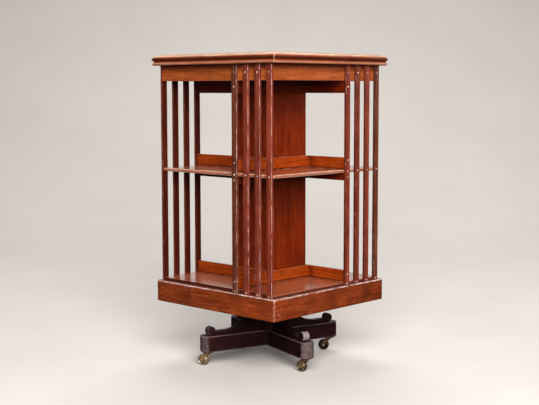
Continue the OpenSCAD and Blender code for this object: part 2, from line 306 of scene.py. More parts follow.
def outline_inset(points, d):
    """A closed outline, moved inwards by d. The points run anticlockwise."""
    sharpest, moved = 0.35, []
    for i, p in enumerate(points):
        a, b = points[i - 1], points[(i + 1) % len(points)]
        n1 = Vector((-(p[1] - a[1]), p[0] - a[0])).normalized()
        n2 = Vector((-(b[1] - p[1]), b[0] - p[0])).normalized()
        m = n1 + n2
        m = m / max(sharpest, m.dot(n1))
        moved.append((p[0] + d * m.x, p[1] + d * m.y))
    return moved


def tube_faces(rings, n):
    """Faces that join rings of n vertices each, one after another, and close both ends."""
    faces = [
        [a * n + i, a * n + (i + 1) % n, (a + 1) * n + (i + 1) % n, (a + 1) * n + i]
        for a in range(rings - 1)
        for i in range(n)
    ]
    return faces + [list(reversed(range(n))), [(rings - 1) * n + i for i in range(n)]]


def prism(outline, z0, z1, r, wear=1.0, border=0.004, rubbed=lambda c: 0.0):
    """An outline in X and Y raised from z0 to z1 with rounded arrises. Its grain runs along X.

    border is the width of the flat that keeps the arrises' wear to themselves. rubbed(c) is the least wear that a
    place has; on the arm ends and scrolls it also carries a painted sheen and highlight.
    """
    drift = RNG.uniform(-4, 4)
    pith = RNG.uniform(0.05, 0.1)
    arc = [math.radians(a) for a in (0, 30, 60, 90)]
    fade = min(0.005, (z1 - z0) / 4 - r / 2)
    # Each ring has its height, how far in it lies and its wear
    rings = [(z0, r + border, 0.0)]
    rings += [(z0 + r * (1 - math.cos(a)), r * (1 - math.sin(a)), 1.0) for a in arc]
    rings += [(z0 + r + fade, 0, 0.0), ((z0 + z1) / 2, 0, 0.0), (z1 - r - fade, 0, 0.0)]
    rings += [(z1 - r * (1 - math.cos(a)), r * (1 - math.sin(a)), 1.0) for a in reversed(arc)]
    rings += [(z1, r + border, 0.0)]
    co, worn, n = [], [], len(outline)
    for z, d, w in rings:
        co += [Vector((x, y, z)) for x, y in outline_inset(outline, d)]
        worn += [max(w * wear, rubbed(c)) for c in co[-n:]]
    grain = [Vector((c.y, c.z + pith, c.x + drift)) for c in co]
    return Shape().add(co, tube_faces(len(rings), n), grain, worn)


def mitred(profile, place, wear, tint, corner=0.0, pale_wear_and_sheen=0.0):
    """A profile of (distance out, height, wear, shade) points swept along the front side, mitred at its ends.

    place(s, out, height) gives the position for s from -1 to 1 along the length. corner is the wear at the
    first mitre; the other shows as a dark line. The last argument is a fainter pale wear that dies away from the
    first mitre, partly a painted sheen.
    """
    drift = RNG.uniform(-4, 4)
    pith = (RNG.uniform(0.03, 0.1), RNG.uniform(0.03, 0.09))
    step = 0.016
    count = round(2 * max(p[0] for p in profile) / step)
    ends = (0, *MITRE_LINES)
    spots = [-1 + d for d in ends]
    spots += [-1 + ends[-1] + (2 - 2 * ends[-1]) * i / count for i in range(1, count)]
    spots += [1 - d for d in reversed(ends)]
    co, grain, worn, tints = [], [], [], []
    for s in spots:
        rub = corner * (1 - part_way(s + 1 - MITRE_RUB, MITRE_FADE))
        pale_sheen = pale_wear_and_sheen * (1 - (s + 1) / PALE_SHEEN_REACH)
        seam = SEAM_SHADE if 1 - s < SEAM_W else 1.0
        for out, z, w, shade in profile:
            c = place(s, out, z)
            co.append(c)
            grain.append(Vector((c.y + pith[0], c.z + pith[1], c.x + drift)))
            worn.append(max(wear * w, rub, pale_sheen))
            tints.append(toned(tint, shade * seam))
    return Shape().add(co, tube_faces(len(spots), len(profile)), grain, worn, tints)


def straight(s, out, z):
    """Sweeps straight along the front side."""
    return Vector((s * out, -out, z))


def lathe(profile, segments, wear=None):
    """A profile of (radius, height) points turned about Z.

    An open profile's first and last points are closed off. wear has one value for each point.
    """
    n, co = len(profile), []
    for i in range(segments):
        a = 2 * math.pi * i / segments
        co += [Vector((r * math.cos(a), r * math.sin(a), z)) for r, z in profile]
    faces = []
    for i in range(segments):
        j = (i + 1) % segments
        faces += [[i * n + k, j * n + k, j * n + k + 1, i * n + k + 1] for k in range(n - 1)]
    if profile[0] != profile[-1]:
        faces += [[i * n for i in reversed(range(segments))], [i * n + n - 1 for i in range(segments)]]
    worn = (wear or [0.0] * n) * segments
    return Shape().add(co, faces, co, worn)


def rect_profile(out0, out1, z0, z1, r, shade=lambda up: 1.0):
    """The section of a mitred board with worn arrises, as points for mitred().

    shade(up) darkens it, for up from 0 at the foot to 1 at the top.
    """
    border, foot_rub, face_steps, pts = 0.005, 0.35, 8, []
    left, right, foot, top = out0 + r, out1 - r, z0 + r, z1 - r
    for x, z, turn in ((right, foot, -90), (right, top, 0), (left, top, 90), (left, foot, 180)):
        outer_foot = turn == -90
        centre = Vector((x, z))
        along = Vector((math.cos(math.radians(turn)), math.sin(math.radians(turn))))
        across = Vector((-along.y, along.x))
        pts.append((*(centre + r * along - border * across), 0.0))
        for a in (0, 30, 60, 90):
            t = math.radians(a)
            on_arc = centre + r * (math.cos(t) * along + math.sin(t) * across)
            pts.append((*on_arc, foot_rub if outer_foot else 1.0))
        pts.append((*(centre + r * across - border * along), 0.0))
        if outer_foot:
            low, high = z0 + r + border, z1 - r - border
            pts += [(out1, low + (high - low) * i / face_steps, 0.0) for i in range(1, face_steps)]
    return [(x, z, w, shade((z - z0) / (z1 - z0))) for x, z, w in pts]


# ---- Materials ----


MATERIALS = {}


class Graph:
    """Short names for building a material's node tree."""

    def __init__(self, name):
        MATERIALS[name] = bpy.data.materials.new(name)
        MATERIALS[name].use_nodes = True
        self.tree = MATERIALS[name].node_tree
        self.bsdf = self.tree.nodes["Principled BSDF"]

    def node(self, kind, _out=0, **inputs):
        """Adds a node. Keys set its properties or, with in_ before them, its numbered inputs."""
        nd = self.tree.nodes.new(kind)
        for key, value in inputs.items():
            if key.startswith("in_"):
                socket = nd.inputs[int(key[3:])]
                if isinstance(value, bpy.types.NodeSocket):
                    self.tree.links.new(value, socket)
                else:
                    socket.default_value = value
            else:
                setattr(nd, key, value)
        return nd.outputs[_out]

    def math(self, op, a, b=0.0):
        return self.node("ShaderNodeMath", operation=op, in_0=a, in_1=b)

    def times(self, a, b):
        return self.math("MULTIPLY", a, b)

    def plus(self, a, b):
        return self.math("ADD", a, b)

    def attribute(self, name, out):
        nd = self.tree.nodes.new("ShaderNodeAttribute")
        nd.attribute_name = name
        return nd.outputs[out]

    def vector(self, op, a, b=(0, 0, 0), out=0):
        """Adds a Vector Math node, whose output 1 is a plain number."""
        return self.node("ShaderNodeVectorMath", _out=out, operation=op, in_0=a, in_1=b)

    def scaled(self, a, scale):
        return self.vector("MULTIPLY", a, scale)

    def noise(self, vector, scale=1.0, detail=4.0, rough=0.55, distort=0.0):
        return self.node("ShaderNodeTexNoise", in_0=vector, in_2=scale, in_3=detail, in_4=rough, in_8=distort)

    def ramp(self, fac, *stops):
        nd = self.tree.nodes.new("ShaderNodeValToRGB")
        self.tree.links.new(fac, nd.inputs[0])
        while len(nd.color_ramp.elements) < len(stops):
            nd.color_ramp.elements.new(0.5)
        for e, (at, colour) in zip(nd.color_ramp.elements, stops):
            e.position, e.color = at, (*colour, 1)
        return nd.outputs[0]

    def remap(self, value, lo, hi, to_lo=0.0, to_hi=1.0):
        return self.node("ShaderNodeMapRange", in_0=value, in_1=lo, in_2=hi, in_3=to_lo, in_4=to_hi)

    def mix(self, fac, a, b, blend="MIX"):
        return self.node(
            "ShaderNodeMix", _out=2, data_type="RGBA", blend_type=blend, in_0=fac, in_6=a, in_7=b
        )

    def bump(self, height, strength, distance, normal=None):
        nd = self.tree.nodes.new("ShaderNodeBump")
        nd.inputs["Strength"].default_value = strength
        nd.inputs["Distance"].default_value = distance
        self.tree.links.new(height, nd.inputs["Height"])
        if normal is not None:
            self.tree.links.new(normal, nd.inputs["Normal"])
        return nd.outputs[0]

    def finish(self, colour, roughness, normal, **fixed):
        """Links the shader's inputs, and sets the fixed ones on its own sockets."""
        self.tree.links.new(colour, self.bsdf.inputs["Base Color"])
        self.tree.links.new(roughness, self.bsdf.inputs["Roughness"])
        self.tree.links.new(normal, self.bsdf.inputs["Normal"])
        for key, value in fixed.items():
            self.bsdf.inputs[key.replace("_", " ")].default_value = value


def figured(g, grain, dark, mid, light, contrast):
    """Growth rings about the pith, streaks and ribbon along the grain, and dark pores.

    Gives the colour, the streaks and where the pores are.
    """
    drift = g.noise(g.scaled(grain, (9, 9, 2.5)), detail=2.0)
    bent = g.vector("ADD", grain, g.scaled(drift, (0.02, 0.02, 0)))
    sep = g.tree.nodes.new("ShaderNodeSeparateXYZ")
    g.tree.links.new(bent, sep.inputs[0])
    flat = g.node("ShaderNodeCombineXYZ", in_0=sep.outputs[0], in_1=sep.outputs[1], in_2=0.0)
    radius = g.vector("LENGTH", flat, out=1)
    height = g.times(sep.outputs[2], 0.012)
    ring_at = g.node("ShaderNodeCombineXYZ", in_0=radius, in_1=0.0, in_2=height)
    rings = g.noise(ring_at, scale=260.0, detail=3.0, rough=0.6)
    streaks = g.noise(g.scaled(bent, (520, 520, 11)), detail=5.0, rough=0.62, distort=0.3)
    ribbon = g.noise(g.scaled(bent, (110, 110, 9)), detail=3.0, rough=0.5, distort=0.4)
    pores = g.remap(g.noise(g.scaled(bent, (1500, 1500, 75)), detail=2.0, rough=0.5), 0.60, 0.70)
    figure = g.plus(g.times(rings, 0.30), g.times(streaks, 0.45))
    figure = g.plus(figure, g.times(ribbon, 0.25))
    spread = 0.13 / contrast
    colour = g.ramp(figure, (0.5 - spread, dark), (0.5, mid), (0.5 + spread, light))
    colour = g.mix(g.times(pores, 0.55), colour, (*[c * 0.45 for c in dark], 1))
    return colour, streaks, pores


def wood(
    name, dark, mid, light, worn, gloss, coat, coat_rough=0.14, wear_from=0.95, patina=0.5, shine=0.3,
    flecks=0.78, contrast=1.0, blotch=1.1, ripple=0.25, grit=0.18, cloud=0.16
):
    """Polished mahogany: ribboned figure, fine streaks and pores, a patchy finish, arrises rubbed pale as wear and
    as a painted highlight.

    dark, mid and light are its figure, and worn is the bare wood. Rubbing shows from a wear of wear_from,
    broken up by blotch, and flecks where their noise passes flecks. gloss is the roughness, plus up to cloud.
    """
    g = Graph(name)
    grain = g.attribute("grain", "Vector")
    wear = g.attribute("wear", "Fac")
    colour, streaks, pores = figured(g, grain, dark, mid, light, contrast)

    # Patches and grit in the polish, and the board's own tint
    patches = g.noise(grain, scale=17.0, detail=3.0, rough=0.6)
    speckle = g.noise(grain, scale=420.0, detail=3.0, rough=0.6)
    shade = g.remap(patches, 0.30, 0.70, 1 - patina * 0.55, 1 + patina * 0.30)
    shade = g.times(shade, g.remap(speckle, 0.3, 0.7, 1 - grit, 1 + grit))
    colour = g.node("ShaderNodeVectorMath", operation="SCALE", in_0=colour, in_3=shade)
    colour = g.mix(1.0, colour, g.attribute("tint", "Color"), "MULTIPLY")

    # Rubbed arrises, pale as wear and as a painted highlight, and flecks that gather near them
    rub = g.noise(g.scaled(grain, (120, 120, 38)), detail=4.0, rough=0.65)
    bare = g.plus(wear, g.times(g.math("SUBTRACT", rub, 0.5), blotch))
    bare = g.remap(bare, wear_from, wear_from + 0.30, 0.0, 0.85)
    nick = g.noise(g.scaled(grain, (110, 110, 70)), detail=8.0, rough=0.82)
    nick = g.plus(nick, g.times(wear, 0.14))
    bare = g.math("MAXIMUM", bare, g.remap(nick, flecks, flecks + 0.05, 0.0, 0.45))
    colour = g.mix(bare, colour, (*worn, 1))

    # Gloss, dulled in clouds and where it is bare, over a slight wave and the grain's relief
    haze = g.noise(grain, scale=46.0, detail=5.0, rough=0.7)
    rough = g.remap(haze, 0.35, 0.70, gloss, gloss + cloud)
    rough = g.plus(rough, g.times(bare, 0.14))
    wave = g.noise(g.scaled(grain, (34, 34, 9)), detail=1.0)
    normal = g.bump(wave, ripple, 0.0012)
    normal = g.bump(g.math("SUBTRACT", streaks, pores), 1.4 * ripple, 0.00008, normal)
    g.finish(
        colour, rough, normal, Coat_Weight=coat, Coat_Roughness=coat_rough, Specular_IOR_Level=shine,
        Specular_Tint=(1.0, 0.92, 0.90, 1.0)
    )


def plain_wood(name, dark, light, stretch, gloss):
    """Wood for CAD nodes, which carry no grain attribute: its streaks run the way that stretch is small."""
    g = Graph(name)
    at = g.node("ShaderNodeTexCoord", _out=3)
    streaks = g.noise(g.scaled(at, stretch), detail=5.0, rough=0.6)
    colour = g.ramp(streaks, (0.35, dark), (0.68, light))
    rough = g.remap(streaks, 0.3, 0.7, gloss, gloss + 0.18)
    g.finish(colour, rough, g.bump(streaks, 0.4, 0.0002), Specular_IOR_Level=0.3)


def metal(name, dark, mid, bright, polish, dull, scale=120.0, worn_bright=0.0, metallic=1.0):
    """Old cast metal: tarnish in patches, brighter where it is rubbed.

    polish and dull are the roughness where it is bright and where it is dark. scale sizes the patches.
    """
    g = Graph(name)
    at = g.node("ShaderNodeTexCoord", _out=3)
    cast = g.noise(at, scale=scale, detail=5.0, rough=0.65)
    spots = g.noise(at, scale=scale * 5, detail=3.0, rough=0.6)
    sheen = g.plus(g.times(cast, 0.7), g.times(spots, 0.3))
    # The wear attribute brings rubbing and, on the castors, their painted light and shade
    if worn_bright:
        sheen = g.plus(sheen, g.times(g.attribute("wear", "Fac"), worn_bright))
    colour = g.ramp(sheen, (0.36, dark), (0.52, mid), (0.68, bright))
    rough = g.remap(sheen, 0.38, 0.66, dull, polish)
    g.finish(colour, rough, g.bump(spots, 0.35, 0.0002), Metallic=metallic)


wood(
    "mahogany", dark=(0.110, 0.013, 0.002), mid=(0.250, 0.036, 0.006), light=(0.390, 0.080, 0.015),
    worn=(0.62, 0.33, 0.21), gloss=0.26, coat=0.25, contrast=0.75
)
# The moulding and the board that it frames have the same polish
TOP_POLISH = dict(gloss=0.44, coat=0.0, shine=0.25, patina=0.35, cloud=0.05, contrast=0.8)
wood(
    "mahogany_top", dark=(0.120, 0.016, 0.004), mid=(0.290, 0.056, 0.015), light=(0.450, 0.125, 0.040),
    worn=(0.90, 0.62, 0.52), **TOP_POLISH
)
wood(
    "table_top", dark=(0.120, 0.016, 0.004), mid=(0.270, 0.050, 0.012), light=(0.430, 0.115, 0.030),
    worn=(0.72, 0.42, 0.27), **TOP_POLISH
)
wood(
    "mahogany_inner", dark=(0.084, 0.0064, 0.0006), mid=(0.174, 0.0155, 0.0015), light=(0.300, 0.041, 0.0045),
    worn=(0.50, 0.26, 0.16), gloss=0.30, coat=0.08, contrast=0.75, shine=0.18
)
wood(
    "mahogany_slat", dark=(0.100, 0.013, 0.007), mid=(0.205, 0.033, 0.016), light=(0.320, 0.068, 0.034),
    worn=(0.66, 0.50, 0.46), gloss=0.28, coat=0.2, wear_from=0.84, flecks=0.74
)
wood(
    "plinth", dark=(0.110, 0.012, 0.002), mid=(0.240, 0.036, 0.006), light=(0.370, 0.078, 0.015),
    worn=(0.74, 0.60, 0.56), gloss=0.32, coat=0.2, patina=0.8, flecks=0.66, contrast=0.8, grit=0.42
)
wood(
    "dark_base", dark=(0.008, 0.0014, 0.0016), mid=(0.019, 0.0036, 0.0042), light=(0.040, 0.009, 0.0095),
    worn=(0.30, 0.23, 0.235), gloss=0.40, coat=0.06, coat_rough=0.35, wear_from=0.70, patina=0.8, shine=0.2,
    blotch=0.3
)
wood(
    "shelf", dark=(0.220, 0.055, 0.024), mid=(0.385, 0.110, 0.050), light=(0.530, 0.180, 0.092),
    worn=(0.66, 0.44, 0.36), gloss=0.22, coat=0.8, coat_rough=0.17, wear_from=0.72, shine=0.5, contrast=0.7,
    patina=0.2, ripple=0.06, flecks=0.85
)
plain_wood("bare_wood", (0.16, 0.085, 0.04), (0.40, 0.25, 0.14), stretch=(14, 300, 300), gloss=0.62)
plain_wood("dark_post", (0.008, 0.0014, 0.0016), (0.040, 0.009, 0.0095), stretch=(300, 300, 14), gloss=0.42)
metal(
    "screw_brass", dark=(0.30, 0.20, 0.15), mid=(0.66, 0.52, 0.44), bright=(0.95, 0.86, 0.78),
    polish=0.30, dull=0.42, scale=300.0, metallic=0.7
)
metal(
    "castor_brass", dark=(0.060, 0.036, 0.022), mid=(0.36, 0.22, 0.11), bright=(0.80, 0.58, 0.32),
    polish=0.2, dull=0.42, scale=140.0
)
metal(
    "horn_brass", dark=(0.07, 0.036, 0.016), mid=(0.32, 0.19, 0.085), bright=(0.66, 0.46, 0.24),
    polish=0.28, dull=0.5, scale=140.0, worn_bright=0.12, metallic=0.6
)
metal(
    "wheel_brass", dark=(0.010, 0.006, 0.004), mid=(0.075, 0.055, 0.032), bright=(0.48, 0.40, 0.27),
    polish=0.32, dull=0.5, scale=140.0, worn_bright=0.26, metallic=0.6
)
metal("steel", (0.12, 0.11, 0.10), (0.30, 0.29, 0.29), (0.55, 0.54, 0.54), polish=0.3, dull=0.5)
# CAD nodes that don't take the material of their slot's name
CAD_MATERIALS = {"centre_post": "dark_post"}


# ---- The case ----


def tone(lo, hi, red, hue=(1, 1, 1)):
    """A tint for one board: lighter or darker, and a little redder or greyer."""
    v, w = RNG.uniform(lo, hi), RNG.uniform(-red, red)
    return (v * hue[0], v * (1 - w) * hue[1], v * (1 - 1.5 * w) * hue[2])


def node_box(node):
    """A node's lowest and highest corner, as lists."""
    lo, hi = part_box(node)
    return list(lo), list(hi)


def case_piece(node, k, shape, slot, material=None):
    """The wood for a node that each side of the case has, from a shape on the front, turned to side k."""
    name = f"{node}_{SIDES[k]}"
    piece(f"{name}_wood", shape.turned(side_turn(k)), "rack", slot, [name], material=material)


def make_top_panel():
    lo, hi = node_box("top_panel")
    shape = board(lo, hi, along=X, r=0.0005, step=0.02, wear=0.15)
    piece("top_panel_board", shape, "rack", "mahogany_top", ["top_panel"], material="table_top")


def plinth_path(inside, outside):
    """Where mitred() puts a plinth rail, whose outer face turns the corner on a radius."""
    straight_part = outside - PLINTH_R
    path_len = straight_part + PLINTH_R * math.pi / 4

    def place(s, out, z):
        u = s * path_len
        turned = max(0.0, abs(u) - straight_part) / PLINTH_R
        x = min(abs(u), straight_part) + PLINTH_R * math.sin(turned)
        outer = Vector((math.copysign(x, u or 1.0), -(straight_part + PLINTH_R * math.cos(turned))))
        inner = Vector((s * inside, -inside))
        p = outer.lerp(inner, (outside - out) / (outside - inside))
        return Vector((p.x, p.y, z))

    return place


def make_mitred_rails(k):
    """One side's edge moulding, frieze and plinth."""
    frieze_lo, frieze_hi = node_box("frieze_rail_front")
    case_in, case_out = -frieze_hi[Y], -frieze_lo[Y]
    moulding = moulding_profile(-node_box("top_moulding_front")[0][Y], frieze_hi[Z])
    shape = mitred(moulding, straight, wear=0.7, tint=tone(0.94, 1.06, 0.03), corner=1.25)
    case_piece("top_moulding", k, shape, "mahogany_top")

    def frieze_painted_shadow(up):
        """Painted shadow under the moulding: the frieze's upper half darkens towards it."""
        return 1.0 - 0.75 * part_way(up - 0.5, 0.5)

    frieze = rect_profile(case_in, case_out, frieze_lo[Z], frieze_hi[Z], r=0.0009, shade=frieze_painted_shadow)
    shape = mitred(frieze, straight, wear=0.8, tint=tone(1.32, 1.46, 0.03, hue=(1, 1.45, 1.8)))
    case_piece("frieze_rail", k, shape, "mahogany")

    lo, hi = node_box("plinth_rail_front")
    plinth = rect_profile(case_out, -lo[Y], lo[Z], hi[Z], r=0.0022)
    path = plinth_path(case_out, -lo[Y])
    # The plinth pales away from its first mitre, partly as wear and partly as a painted sheen
    shape = mitred(plinth, path, wear=1.12, tint=tone(0.85, 0.95, 0.03), corner=1.05, pale_wear_and_sheen=0.6)
    case_piece("plinth_rail", k, shape, "mahogany", material="plinth")


def stop_shade(lo, column):
    """Shade for a book stop: dark along its foot, and a painted shadow of the column where it meets the column's
    corner.
    """
    foot, inner_face = lo[Z] + 0.003, lo[X] + 0.001
    darkest_to, fade = column + 0.012, 0.030

    def shade(c):
        if c.z < foot:
            return 0.3
        if c.x >= inner_face or c.y >= -column:
            return 1.0
        return 0.28 + 0.5 * part_way(-c.y - darkest_to, fade)

    return shade


def make_column_side(k):
    """One side's book stops, the rail that hangs from the top, and the column's panel."""
    panel_lo, panel_hi = node_box("column_panel_front")
    for node in ("mid_book_stop", "bottom_book_stop"):
        lo, hi = node_box(f"{node}_front")
        tint, shade = tone(1.6, 1.8, 0.03, hue=(1, 1.5, 1.3)), stop_shade(lo, -panel_lo[Y])
        shape = board(lo, hi, along=Y, r=0.0011, step=0.02, wear=1.15, tint=tint, shade=shade)
        case_piece(node, k, shape, "mahogany_inner")

    # Behind the frieze the rail is shorter, so it is made as two boards, one on the other
    frieze_lo, frieze_hi = node_box("frieze_rail_front")
    lo, hi = node_box("divider_rail_front")
    # Painted shade: this rail, under the top, is made darker than the other boards inside
    tint = tone(0.5, 0.62, 0.04)
    low = board(lo, (hi[X], hi[Y], frieze_lo[Z]), along=Y, r=0.0011, step=0.02, wear=0.8, tint=tint)
    behind = (lo[X], frieze_hi[Y], frieze_lo[Z])
    high = board(behind, hi, along=Y, r=0.0003, step=0.02, wear=0.0, tint=low.tint[0])
    case_piece("divider_rail", k, low.join(high), "mahogany_inner")

    tint = tone(0.9, 1.1, 0.03)
    shape = board(panel_lo, panel_hi, along=Z, r=0.0008, step=0.025, wear=0.4, tint=tint)
    case_piece("column_panel", k, shape, "mahogany_inner")


def make_shelves():
    """The middle shelf with the rails under it, and the bottom board."""
    lo, hi = node_box("mid_book_stop_front")
    rail_lo, rail_hi = node_box("shelf_rails")
    rails = Shape()
    for k in range(4):
        tint = tone(0.5, 0.65, 0.04)
        corners = (lo[X], lo[Y], rail_lo[Z]), (hi[X], hi[Y], rail_hi[Z])
        rails.join(board(*corners, along=Y, r=0.0009, step=0.02, wear=0.5, tint=tint).turned(side_turn(k)))
    piece("shelf_rails_wood", rails, "rack", "mahogany_inner", ["shelf_rails"])

    lo, hi = node_box("mid_shelf")
    column = -node_box("column_panel_front")[0][Y]
    # Its rounded nose is rubbed pale, as wear and as a painted highlight
    shape = board(lo, hi, along=X, r=0.0042, step=0.012, wear=1.1, hole=column)
    piece("mid_shelf_board", shape, "rack", "mahogany", ["mid_shelf"], material="shelf")

    lo, hi = node_box("bottom_board")
    rim = hi[X] - 0.0004
    lip = 0.6 * (hi[Z] - node_box("plinth_rail_front")[1][Z])

    def rim_painted_shade(c):
        """Painted shade on the board's edge: the X sides dark all over, the Y sides dark low down beside the
        plinth and only a little darker above.
        """
        if max(abs(c.x), abs(c.y)) < rim:
            return 1.0
        return 0.85 if c.z > hi[Z] - (lip if abs(c.y) > rim else 0.0) else 0.12

    shape = board(lo, hi, along=X, r=0.0012, step=0.014, wear=0.2, hole=BOTTOM_HOLE, shade=rim_painted_shade)
    piece("bottom_board_wood", shape, "rack", "mahogany", ["bottom_board"], material="shelf")


def make_case():
    """Everything that turns: each side in turn, and then what the sides share."""
    make_top_panel()
    for k in range(4):
        make_mitred_rails(k)
        make_column_side(k)
        make_slats(k)
    make_shelves()
    make_screws()


def moulding_profile(out, z0):
    """Section of the top's edge moulding: bead, fillet, cove, fillet and thumb, from the bottom up.

    Painted shade darkens the cove and the underside under the bead. Painted highlights brighten the crests of the
    bead and thumb, and the crests are rubbed as well.
    """
    inner = out - MOULDING_W
    bead_at = MOULDING_W - BEAD_SET - BEAD_R
    cove_r = 2 * BEAD_R
    cove_x, cove_z = bead_at + BEAD_R / 4 + cove_r, cove_r
    pts = [(0.0, 0.0, 0.0, 0.5), (bead_at * 0.6, 0.0, 0.0, 0.5), (bead_at, 0.0, 0.0, 0.4)]
    # Painted highlight on the bead's crest, which is also rubbed
    for a in range(-75, 76, 15):
        t = math.radians(a)
        crest = math.cos(math.radians(a - 15))
        shade = 0.6 + 1.1 * max(0, crest)
        pts.append((bead_at + BEAD_R * math.cos(t), BEAD_R + BEAD_R * math.sin(t), crest, shade))
    pts.append((bead_at + 0.0006, cove_r, 0.4, 0.9))
    # Painted shade in the cove, less deep just above the bead
    for a in range(172, 89, -10):
        t = math.radians(a)
        reach = min(cove_x + cove_r * math.cos(t), MOULDING_W - FILLET_SET)
        pts.append((reach, cove_z + cove_r * math.sin(t), 0.0, 0.25 + max(0.0, (a - 150) / 60)))
    shelf = 2 * cove_r
    pts += [(MOULDING_W - FILLET_SET, shelf, 0.0, 0.5), (MOULDING_W, shelf + 0.0004, 0.2, 0.7)]
    low = math.asin((shelf - THUMB_AT[1]) / THUMB_R)
    high = math.asin((MOULDING_H - THUMB_AT[1]) / THUMB_R)
    for i, shade in enumerate(THUMB_PAINTED_LIGHT):
        t = low + (high - low) * i / (len(THUMB_PAINTED_LIGHT) - 1)
        x = min(THUMB_AT[0] + THUMB_R * math.cos(t), MOULDING_W)
        pts.append((x, THUMB_AT[1] + THUMB_R * math.sin(t), 1.0 if 3 < i < 9 else 0.0, shade))
    pts += [(0.006, MOULDING_H, 0.0, 1.0), (0.0, MOULDING_H, 0.1, 1.0)]
    cleaned = [pts[0]]
    for p in pts[1:]:
        if math.dist(p[:2], cleaned[-1][:2]) > 1e-5:
            cleaned.append(p)
    return [(inner + x, z0 + z, max(0.0, w), shade) for x, z, w, shade in cleaned]


def slat_places():
    """Middles of the front side's slats along X."""
    lo, hi = node_box("slats_front")
    first, last = lo[X] + SLAT_W / 2, hi[X] - SLAT_W / 2
    return [first + (last - first) * i / (SLAT_COUNT - 1) for i in range(SLAT_COUNT)]


def make_slats(k):
    lo, hi = node_box("slats_front")
    slats = Shape()
    for i, x in enumerate(slat_places()):
        tint = SLAT_TONES.get((SIDES[k], i), tone(0.92, 1.15, 0.06))
        tint = tuple(t * SIDE_PAINTED_SHADE[k] for t in tint)
        back, flank, middle = hi[Y] - 0.0008, x - SLAT_W / 2 + 0.0006, x - 0.002

        def shade(c):
            """Dark inside; painted shade on the flank towards -X and a little on that half of the front, and a
            faint painted sheen on the other half.
            """
            if c.y > back:
                return 0.36
            if c.x < flank:
                return 0.45
            return 0.8 if c.x < middle else 1.03

        corners = (x - SLAT_W / 2, lo[Y], lo[Z]), (x + SLAT_W / 2, hi[Y], hi[Z])
        slats.join(board(*corners, along=Z, r=0.0011, step=0.004, wear=SLAT_WEAR[k], tint=tint, shade=shade))
    case_piece("slats", k, slats, "mahogany_slat")


def screw_heads(heights, columns, y):
    """Domed, slotted screw heads on the front side's slats."""
    slot_half, slot_depth, sunk = 0.00055, 0.0007, 0.0006
    dome = [(0.0001, 0.0012), (0.38 * SCREW_R, 0.00115), (0.69 * SCREW_R, 0.0009), (0.9 * SCREW_R, 0.0005),
            (SCREW_R, 0.0001), (SCREW_R, -sunk), (0.0001, -sunk)]
    heads = Shape()
    for z in heights:
        for x in columns:
            head = lathe(dome, 24)
            spin = Matrix.Rotation(RNG.uniform(0, math.pi), 4, "Z")
            for c in head.co:
                if abs(c.y) < slot_half and c.z > 0:
                    c.z -= slot_depth
            heads.join(head.turned(Matrix.Translation((x, y, z)) @ UPRIGHT @ spin))
    return heads


def make_screws():
    """Three screws to each slat, and four more to each side's first, into the rails and stops."""
    y = node_box("slats_front")[0][Y]
    frieze = node_box("frieze_rail_front")
    shelf = node_box("mid_shelf")
    rails = node_box("shelf_rails")
    bottom_top, mid_stop_top, bottom_stop_top = (
        node_box(node)[1][Z] for node in ("bottom_board", "mid_book_stop_front", "bottom_book_stop_front")
    )
    divider_low = node_box("divider_rail_front")[0][Z]
    frieze_mid, shelf_mid, rails_mid = ((lo[Z] + hi[Z]) / 2 for lo, hi in (frieze, shelf, rails))
    rows = [frieze_mid, shelf_mid, bottom_top - FRAME_SCREW_INSET]
    extra = [(divider_low + frieze[0][Z]) / 2, mid_stop_top - MID_SCREW_DROP]
    extra += [rails_mid, bottom_stop_top - BOTTOM_SCREW_DROP]
    places = slat_places()
    heads = Shape()
    for k in range(4):
        one = screw_heads(rows, places, y).join(screw_heads(extra, places[:1], y))
        heads.join(one.turned(side_turn(k)))
    piece("slat_screw_heads", heads, "rack", "screw_brass", ["slat_screws"], sharp=35.0)


# ---- The base ----


def arc_points(cx, cy, r, a0, a1, n):
    """Points at n steps along an arc about (cx, cy), from angle a0 to a1 in degrees."""
    angles = [math.radians(a0 + (a1 - a0) * i / n) for i in range(n + 1)]
    return [(cx + r * math.cos(a), cy + r * math.sin(a)) for a in angles]


def bracket_outline():
    """Side view of a scroll bracket, anticlockwise: along its foot, round the roll, up the curve."""
    pts = [(BRACKET_FROM, 0.0), (0.08, 0.0), (0.13, 0.0), (ROLL_AT - 0.004, 0.0)]
    meet = math.degrees(math.asin((NECK - ROLL_R) / ROLL_R))
    pts += arc_points(ROLL_AT, ROLL_R, ROLL_R, -90, 180 - meet, 26)[1:]
    pts.append((CURVE_AT + 0.018, NECK))
    edge = math.degrees(math.asin((BRACKET_TOP - NECK - CURVE_R) / CURVE_R))
    pts += arc_points(CURVE_AT, NECK + CURVE_R, CURVE_R, 270, 180 - edge, 24)
    pts.append((BRACKET_FROM, BRACKET_TOP))
    return pts


